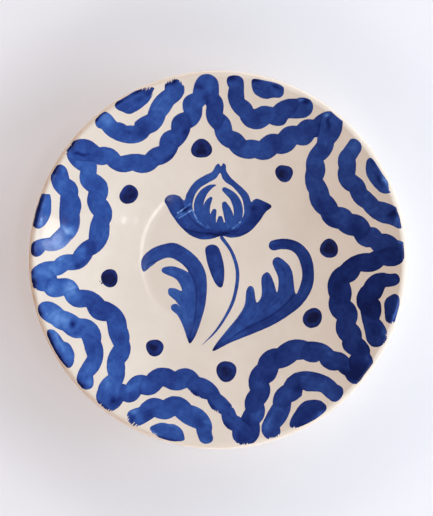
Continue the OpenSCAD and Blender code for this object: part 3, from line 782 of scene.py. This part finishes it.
def lobe_shade(lobes, load, seed, touches=(), tones=(0.0,), lines=(), streaky=1.0):
    """Colour laid in several strokes that run together: a tone for each, a dark line where one meets the
    first, and single thin lines, as (x, y, x, y, half width, darker by)."""
    ways = [Line(smooth_curve(lobe, 8)) for lobe in lobes]

    def shade(x, y, f):
        found = [way.find(x, y) for way in ways]
        far = np.stack([np.abs(v) for s, v in found] + [np.full(x.shape, 99.0)])
        nearest = np.argmin(far, axis=0)
        s, v = (np.choose(nearest, [pair[k] for pair in found]) for k in (0, 1))
        others = np.min(far[1:], axis=0)
        thick = load + sum(tone * smoothstep(-1.5, 1.5, np.min(np.delete(far, k, axis=0), axis=0) - far[k])
                           for k, tone in enumerate(tones))
        thick += 0.2 * bell((others - far[0]) / 1.3) * smoothstep(0.2, 1.4, far[0])
        thick += clouds(x, y, seed) + streaky * hairs(s, v, seed + 3)
        thick += spots(x + 0.7 * noise(x / 3, y / 3, 53), y + 0.7 * noise(x / 3, y / 3, 54), touches)
        for x0, y0, x1, y1, half_width, darker in lines:
            u, w = seen_from(x, y, x0, y0, math.degrees(math.atan2(y1 - y0, x1 - x0)))
            past = np.maximum(np.maximum(-u, u - math.hypot(x1 - x0, y1 - y0)), 0)
            uneven = 0.75 + 0.5 * noise(u / 1.5, w + x0, 55)
            thick += darker * uneven * bell(np.hypot(w, past) / half_width)
        return thick + edge_darkening(f), s, v

    return shade


def flower_stroke(name, outline, shade, hole=None, step=GRID):
    outline = smooth_curve(outline, 6, closed=True)
    hole = None if hole is None else smooth_curve(hole, 6, closed=True)

    def field(x, y):
        f = inside_distance(x, y, outline)
        if hole is not None:
            f = np.minimum(f, -inside_distance(x, y, hole))
        return f + 0.6 * wobble(x, y)

    paint_piece(name, [(field, box_of(outline), step, shade)])


def swelling_island(points, load, seed):
    """The island of one stroke whose width changes along its middle."""
    *row, width = smooth_curve(points, 10).T
    line = Line(np.transpose(row))

    def field(x, y):
        s, v = line.find(x, y)
        inside = np.clip(s, 0, line.length)
        return np.interp(inside, line.at, width) / 2 - np.hypot(v, s - inside) + 0.4 * wobble(x, y)

    shade = lobe_shade([[point[:2] for point in points]], load, seed)
    return field, box_of(line.points, np.max(width) / 2 + 1), FINE_GRID, shade


# ----- Materials -----


def colour(r, g, b):
    """A colour given as it looks on a screen, from 0 to 255, in the linear form that shaders take."""
    c = np.array([r, g, b]) / 255
    return *np.where(c <= 0.04045, c / 12.92, ((c + 0.055) / 1.055) ** 2.4).tolist(), 1.0


class Shader:
    """A material's node tree, with short ways to add to it."""

    def __init__(self, name):
        self.material = bpy.data.materials.new(name)
        self.material.use_nodes = True
        self.tree = self.material.node_tree
        self.surface = self.tree.nodes["Principled BSDF"]
        self.place = self.node("ShaderNodeTexCoord").outputs["Object"]

    def node(self, kind, inputs=None, **settings):
        made = self.tree.nodes.new(kind)
        for key, value in settings.items():
            setattr(made, key, value)
        for key, value in (inputs or {}).items():
            if isinstance(value, bpy.types.NodeSocket):
                self.tree.links.new(value, made.inputs[key])
            else:
                made.inputs[key].default_value = value
        return made

    def math(self, operation, a, b=0.0):
        return self.node("ShaderNodeMath", {0: a, 1: b}, operation=operation).outputs[0]

    def noise(self, per_metre, detail=2.0, at=None):
        at = self.place if at is None else at
        made = self.node("ShaderNodeTexNoise", {"Vector": at, "Scale": per_metre, "Detail": detail})
        return made.outputs["Fac"]

    def attribute(self, name):
        return self.node("ShaderNodeAttribute", attribute_name=name).outputs["Fac"]

    def spread(self, value, low, high, to_low=0.0, to_high=1.0):
        made = self.node("ShaderNodeMapRange", {0: value, 1: low, 2: high, 3: to_low, 4: to_high})
        return made.outputs[0]

    def mix(self, amount, a, b):
        return self.node("ShaderNodeMix", {0: amount, 6: a, 7: b}, data_type="RGBA").outputs[2]

    def ramp(self, value, stops):
        made = self.node("ShaderNodeValToRGB", {0: value})
        elements = made.color_ramp.elements
        while len(elements) < len(stops):
            elements.new(1.0)
        for element, (at, *shade) in zip(elements, stops):
            element.position, element.color = at, colour(*shade)
        return made.outputs["Color"]

    def feed(self, socket, value):
        self.tree.links.new(value, self.surface.inputs[socket])

    def bump(self, height, depth):
        """depth is in metres, for a height that goes from 0 to 1."""
        made = self.node("ShaderNodeBump", {"Height": height, "Distance": depth, "Strength": 1.0})
        self.feed("Normal", made.outputs["Normal"])


def cobalt_material(name, *stops):
    """Cobalt blue under a clear glaze: pale where it lies thin and nearly black where it ran together."""
    m = Shader(name)
    hair = m.node("ShaderNodeCombineXYZ", {
        0: m.math("MULTIPLY", m.attribute("along"), 0.08), 1: m.math("MULTIPLY", m.attribute("across"), 1.7)})
    hair_noise = m.noise(1.0, 2.0, hair.outputs[0])
    grain = m.spread(m.noise(700, 3.0), 0.2, 0.8, -0.035, 0.035)
    uneven = m.math("ADD", m.spread(hair_noise, 0.2, 0.8, -0.03, 0.03), grain)
    m.feed("Base Color", m.ramp(m.math("ADD", m.attribute("thick"), uneven), stops))
    m.feed("Roughness", m.spread(m.noise(60), 0.3, 0.7, 0.04, 0.1))
    m.bump(m.math("ADD", hair_noise, m.noise(240)), 0.00002)
    return m.material


CREAM_DEEP, CREAM_LIGHT, CREAM_WARM = colour(226, 213, 196), colour(233, 221, 205), colour(222, 205, 184)
# The lip's tan is clay showing through thin glaze, and on the left it also stands in as painted shade
LIP_TAN_AND_SHADE, SPECK_BROWN = colour(186, 150, 116), colour(120, 95, 70)


def glaze_material():
    """A cream tin glaze: slow pooling tones, small specks and pinholes, and tan where it ran off the lip,
    laid on more strongly towards the left as painted shade on the side of the lip that faces away from the
    light.
    """
    m = Shader("cream_glaze")
    slow = m.noise(22, 2.0)
    cream = m.mix(m.spread(slow, 0.35, 0.65), CREAM_DEEP, CREAM_LIGHT)
    cream = m.mix(m.spread(m.noise(140, 3.0), 0.3, 0.7, 0.0, 0.25), cream, CREAM_WARM)
    specks = m.node("ShaderNodeTexVoronoi", {"Vector": m.place, "Scale": 95.0}).outputs["Distance"]
    few = m.math("GREATER_THAN", m.noise(60, 0.0), 0.58)
    speck = m.math("MULTIPLY", m.spread(specks, 0.035, 0.02), few)
    cream = m.mix(m.math("MULTIPLY", speck, 0.55), cream, SPECK_BROWN)
    x, y, _ = m.node("ShaderNodeSeparateXYZ", {0: m.place}).outputs
    radius = m.math("SQRT", m.math("ADD", m.math("MULTIPLY", x, x), m.math("MULTIPLY", y, y)))
    radius = m.math("ADD", radius, m.spread(m.noise(90), 0.3, 0.7, -0.0006, 0.0006))
    lip = m.spread(radius, (RIM_R - 2.0) * MM, (RIM_R - 0.3) * MM)
    # Painted shade: the tan on the lip grows stronger towards the left, where the lip faces away from the
    # light
    thin_glaze_and_left_shade = m.spread(x, -0.1 * RIM_R * MM, -RIM_R * MM, 0.1, 0.8)
    m.feed("Base Color", m.mix(m.math("MULTIPLY", lip, thin_glaze_and_left_shade), cream, LIP_TAN_AND_SHADE))
    m.feed("Roughness", m.spread(slow, 0.3, 0.7, 0.035, 0.075))
    pits = m.math("MULTIPLY", m.spread(specks, 0.02, 0.05), 0.4)
    m.bump(m.math("ADD", m.noise(160, 1.0), pits), 0.000025)
    return m.material


def clay_material():
    """Bare fired clay on the foot: buff, with darker grit and turning lines."""
    m = Shader("fired_clay")
    base = m.mix(m.spread(m.noise(60, 4.0), 0.3, 0.7), colour(196, 158, 122), colour(216, 184, 150))
    grit = m.noise(900, 2.0)
    m.feed("Base Color", m.mix(m.spread(grit, 0.6, 0.75, 0.0, 0.5), base, colour(140, 100, 72)))
    m.feed("Roughness", m.spread(grit, 0.3, 0.7, 0.75, 0.95))
    m.bump(m.math("ADD", grit, m.noise(300)), 0.00008)
    return m.material


def floor_material():
    m = Shader("pale_floor")
    m.feed("Base Color", m.mix(m.noise(3, 2.0), colour(240, 240, 241), colour(245, 245, 246)))
    m.surface.inputs["Roughness"].default_value = 0.7
    return m.material


# A stop: how thick the colour lies, and its red, green and blue there
PAINTS = {
    "colour": cobalt_material(
        "cobalt_wash", (0.0, 150, 176, 216), (0.18, 98, 137, 197), (0.36, 62, 100, 168), (0.52, 46, 76, 145),
        (0.68, 35, 57, 122), (0.84, 22, 41, 102), (1.0, 14, 26, 78)),
    "dot_colour": cobalt_material(
        "cobalt_pool", (0.0, 84, 116, 186), (0.5, 42, 66, 134), (0.74, 30, 45, 104), (0.92, 22, 29, 72),
        (1.0, 17, 22, 58)),
}
glaze = glaze_material()
clay = clay_material()

# ----- The body of the plate -----

TURNS, FINE_TURNS = 256, 384
"""Steps round the plate."""
FIT = 0.05
"""How far apart surfaces stay that would meet at the foot."""


def glaze_skin():
    """The glaze from the middle of the face over the lip and down the back to the foot, as a closed skin."""
    face = [(r, float(face_z(r))) for r in [*np.arange(0, 129.0, 1.2), 129.6]]
    lip = lip_row(LIP_R, 30)
    back = sphere_row(BACK_R, WALL_END, math.asin((FOOT_RO + GLAZE_T) / BACK_R), 60)[1:]
    drip_z = back[-1][1] - 1.0
    foot = [(FOOT_RO + GLAZE_T - 0.1, drip_z), (FOOT_RO + GLAZE_T - 0.1, BARE_Z + 0.5),
            (FOOT_RO + GLAZE_T - 0.2, BARE_Z + 0.12), (FOOT_RO + FIT, BARE_Z), (FOOT_RO + 0.02, drip_z)]
    inner_r = BACK_R - GLAZE_T
    inner_back = sphere_row(inner_r, math.asin(FOOT_RO / inner_r), WALL_END, 10)
    inner_lip = lip_row(LIP_R - GLAZE_T, 8)[::-1][1:]
    inner_face = [(r, float(face_z(r)) - GLAZE_T) for r in np.arange(126.0, -1.0, -9.0)]
    face_end, back_start, back_end = len(face), len(face + lip), len(face + lip + back)
    inside_start = back_end + 13

    def shape(x, y, i):
        if i < face_end or i >= inside_start:
            return ripple(x, y)
        if i < back_start or i >= back_end:
            return np.zeros(x.shape)
        r = np.hypot(x, y)
        ring = 0.05 * np.sin(r * 2 * math.pi / 4.3 + 0.6 * noise(x / 60, y / 60, 8)) - 0.05
        return -ring * smoothstep(RIM_R - 3, RIM_R - 12, r) * smoothstep(FOOT_RO + 1, FOOT_RO + 6, r)

    rows = face + lip + back + foot + inner_back + inner_lip + inner_face
    new_piece("glaze_skin", *revolve(rows, shape, FINE_TURNS), glaze, "glaze", "glaze_coat")


def clay_core():
    """The clay under the glaze, with its bare, rounded foot ring."""
    gap, round_r = 0.03, 0.8
    face = [(r, float(face_z(r)) - GLAZE_T - gap - 0.25) for r in np.arange(0, 129.0, 5.0)]
    lip = lip_row(LIP_R - GLAZE_T - gap, 12)
    out_r, back_r = FOOT_RO - FIT, BACK_R - GLAZE_T - gap
    back = sphere_row(back_r, WALL_END, math.asin(out_r / back_r), 16)[1:]
    quarter = [(round_r * (1 - math.cos(a)), round_r * (1 - math.sin(a)))
               for a in np.linspace(0, math.pi / 2, 7)]
    outer = [(out_r, BARE_Z + 1.5), (out_r, BARE_Z)] + [(out_r - away, z) for away, z in quarter]
    ring = [(out_r - round_r - u * (FOOT_W - 2 * round_r), 0.0) for u in np.linspace(0.1, 0.9, 9)]
    inner = [(FOOT_RI + away, z) for away, z in quarter[::-1]]
    under = [(FOOT_RI, BARE_Z), (FOOT_RI, FOOT_TOP)] + [(r, FOOT_TOP + gap) for r in np.arange(50, -1, -10.0)]
    ring_start = len(face + lip + back + outer)

    def shape(x, y, i):
        if ring_start <= i < ring_start + len(ring):
            return 0.05 + 0.05 * np.sin(i * 2.1 + 0.7 * noise(x / 20, y / 20, 9))
        return np.zeros(x.shape)

    rows = face + lip + back + outer + ring + inner + under
    new_piece("clay_core", *revolve(rows, shape, TURNS), clay, "clay", "clay_body")


def base_skin():
    """The glaze on the underside inside the foot ring, pooled in its corner."""
    pool_r, inner = 1.6, FOOT_RI - GLAZE_T
    low = FOOT_TOP - GLAZE_T
    rows = [(q, FOOT_TOP - 0.02) for q in [0.0, *np.arange(6, FOOT_RI - 1, 6.0), FOOT_RI - 0.02]]
    rows += [(FOOT_RI - 0.02, BARE_Z + 0.05), (inner + 0.1, BARE_Z + 0.15), (inner, BARE_Z + 0.4)]
    rows += [(inner - pool_r * (1 - math.sin(a)), low - pool_r * (1 - math.cos(a)))
             for a in np.linspace(math.pi / 2, 0, 8)]
    first_under = len(rows)
    rows += [(q, low) for q in np.arange(51, -1, -1.5)]

    def shape(x, y, i):
        if i < first_under:
            return np.zeros(x.shape)
        turning = 0.03 * np.sin(np.hypot(x, y) * 2 * math.pi / 5.1)
        return turning + 0.03 * noise(x / 15, y / 15, 12) + 0.06

    new_piece("base_skin", *revolve(rows, shape, TURNS), glaze, "glaze", "base_glaze")


glaze_skin()
clay_core()
base_skin()

for number, arch in enumerate(BIG_ARCHES):
    arch_stroke(f"big_arch_{number + 1}", number, BIG_HALF, *arch)
for number, arch in enumerate(INNER_ARCHES):
    arch_stroke(f"inner_arch_{number + 1}", len(BIG_ARCHES) + number, INNER_HALF, *arch)
for number, petal in enumerate(PETALS):
    petal_stroke(f"rim_petal_{number + 1}", number, *petal)
for number, dot in enumerate(DOTS):
    dot_stroke(f"dot_{number + 1}", number, *dot)

flower_stroke("left_leaf", LEFT_LEAF, lobe_shade(
    LEFT_LOBES, 0.54, 701, [(-20, -59, 2.5, 3, 0.4), (-11, -26, 3, 14, -0.02), (-54, -6, 3, 4, -0.1)],
    [0.05, -0.05, -0.04, -0.03], streaky=1.8))
flower_stroke("right_leaf", RIGHT_LEAF, lobe_shade(
    RIGHT_LOBES, 0.6, 711,
    [(48, 14, 8, 4, 0.14), (-2, -65, 3, 3, 0.35), (64, -8, 5, 16, 0.06), (12, -56, 12, 4, -0.1)],
    [0.06, -0.03, -0.02, -0.02], streaky=1.8))
flower_stroke("bud", BUD, lobe_shade(
    [[(-2, 11), (0, 0), (3, -10), (4, -19)]], 0.7, 721,
    [(3, -18, 3, 2, 0.25), (0, -8, 3, 4, -0.1), (3, -3, 1.5, 6, 0.06)]))
flower_stroke("tulip_cup", CUP, lobe_shade(
    CUP_LOBES, 0.6, 731,
    [(2, 18.5, 7, 1.4, 0.4), (12, 21, 4, 1.5, 0.2), (-23, 36.5, 3.5, 1.6, 0.4), (25, 37, 3, 2, 0.25),
     (-8, 18, 10, 3, 0.05), (-37, 42, 2, 3, 0.15), (36, 38, 3, 2.5, 0.2), (28, 31, 6, 7, 0.08)],
    [0.02, 0.12, -0.06, -0.02],
    [(-29, 33.5, -20, 40, 0.45, -0.8), (-28, 30, -17.5, 36.5, 0.5, -0.75),
     (-26.5, 32.3, -20, 36.5, 0.3, -0.5), (-31, 30, -26, 33.5, 0.4, -0.3),
     (-18.3, 35, -14.5, 27.5, 0.6, -0.45), (-14.5, 27.5, -8, 22.5, 0.5, -0.4),
     (18.7, 35, 15.5, 27, 0.6, -0.45), (15.5, 27, 10, 22, 0.5, -0.35),
     (-10, 27.5, -6, 22.5, 0.4, -0.3)]), OPENING, FINE_GRID)
paint_piece("tulip_heart", [swelling_island(p, 0.54, 741) for p in HEART], lift=HEART_LIFT, ending="_strokes")
paint_piece("stem", [swelling_island(STEM, 0.55, 751)])

# ----- Floor, light and camera -----


def make_floor():
    side, n = 6.0 / MM, 24
    line = np.linspace(-side / 2, side / 2, n + 1)
    faces = [(i * (n + 1) + j, (i + 1) * (n + 1) + j, (i + 1) * (n + 1) + j + 1, i * (n + 1) + j + 1)
             for i in range(n) for j in range(n)]
    floor = mesh_object("floor", [(x, y, 0.0) for x in line for y in line], faces, floor_material())


WHITE = (1.0, 1.0, 1.0)
NEAR, FAR = 1.6, 3.0
"""How far the lights stand from the plate, in metres."""


def softbox(name, azimuth, elevation, width, height, radiance, tint=WHITE, distance=NEAR, mirrored=True):
    """A soft light that faces the plate from an azimuth round from +X and an elevation, in degrees and
    metres."""
    light = bpy.data.lights.new(name, "AREA")
    light.shape = "RECTANGLE"
    light.size, light.size_y = width, height
    light.energy = math.pi * width * height * radiance
    light.color = tint
    lamp = bpy.data.objects.new(name, light)
    e = math.radians(elevation)
    lamp.location = Vector((*polar(math.cos(e), azimuth), math.sin(e))) * distance
    lamp.rotation_euler = (-lamp.location).to_track_quat("-Z", "Y").to_euler()
    lamp.visible_camera = False
    lamp.visible_glossy = mirrored
    bpy.context.scene.collection.objects.link(lamp)


# Daylight from low all round, the strongest and bluest of it on the right. Most of it comes off pale walls,
# too broad to be mirrored; the rest comes from the windows themselves.
LOW, MIRRORED_SHARE = 20, 0.14
for azimuth in range(0, 360, 45):
    right = math.cos(math.radians(azimuth))
    tint = (1.07 - 0.2 * right, 1.0, 1.03 + 0.13 * right)
    radiance = 4.35 + 2.65 * right
    softbox(f"walls_{azimuth}", azimuth, LOW, 1.9, 1.3, (1 - MIRRORED_SHARE) * radiance, tint, FAR, False)
    softbox(f"windows_{azimuth}", azimuth, LOW, 1.9, 1.3, MIRRORED_SHARE * radiance, tint, FAR)
# A pane of the nearest window, which the left of the wall mirrors, and a haze over it
softbox("pane", -9, 47.5, 0.2, 0.17, 4.2, (1.08, 1.0, 0.95))
softbox("haze", 0, 79, 0.7, 0.36, 0.6)
# Its bright edge, which the turn from the floor to the wall mirrors as a thin arc that fades downwards
for azimuth in range(-42, 43, 12):
    softbox(f"edge_{azimuth}", azimuth, 76 + azimuth / 30, 0.1, 0.12, 2.2 - 0.05 * azimuth)
# Two chinks, which the wall mirrors beside the arc
softbox("chink_low", -22.3, 64.6, 0.05, 0.03, 7.0)
softbox("chink_high", -26.3, 68.2, 0.04, 0.025, 6.0)

world = bpy.data.worlds.new("world")
world.use_nodes = True
background = world.node_tree.nodes["Background"]
background.inputs["Color"].default_value = (1.0, 1.0, 1.0, 1.0)
background.inputs["Strength"].default_value = 0.08
bpy.context.scene.world = world

# The photo was taken straight on: here from far above with a long lens, a little off the plate's middle
CAMERA_HEIGHT = 4.4
CAMERA_ASIDE = (-0.0012, 0.0013)
LENS_PER_METRE = 107.7 / 1.1
camera_data = bpy.data.cameras.new("camera")
camera_data.lens = LENS_PER_METRE * CAMERA_HEIGHT
camera_data.clip_end = 100
camera = bpy.data.objects.new("camera", camera_data)
camera.location = (*CAMERA_ASIDE, RIM_Z * MM + CAMERA_HEIGHT)
bpy.context.scene.collection.objects.link(camera)
bpy.context.scene.camera = camera
bpy.context.scene.view_settings.view_transform = "Standard"

make_floor()
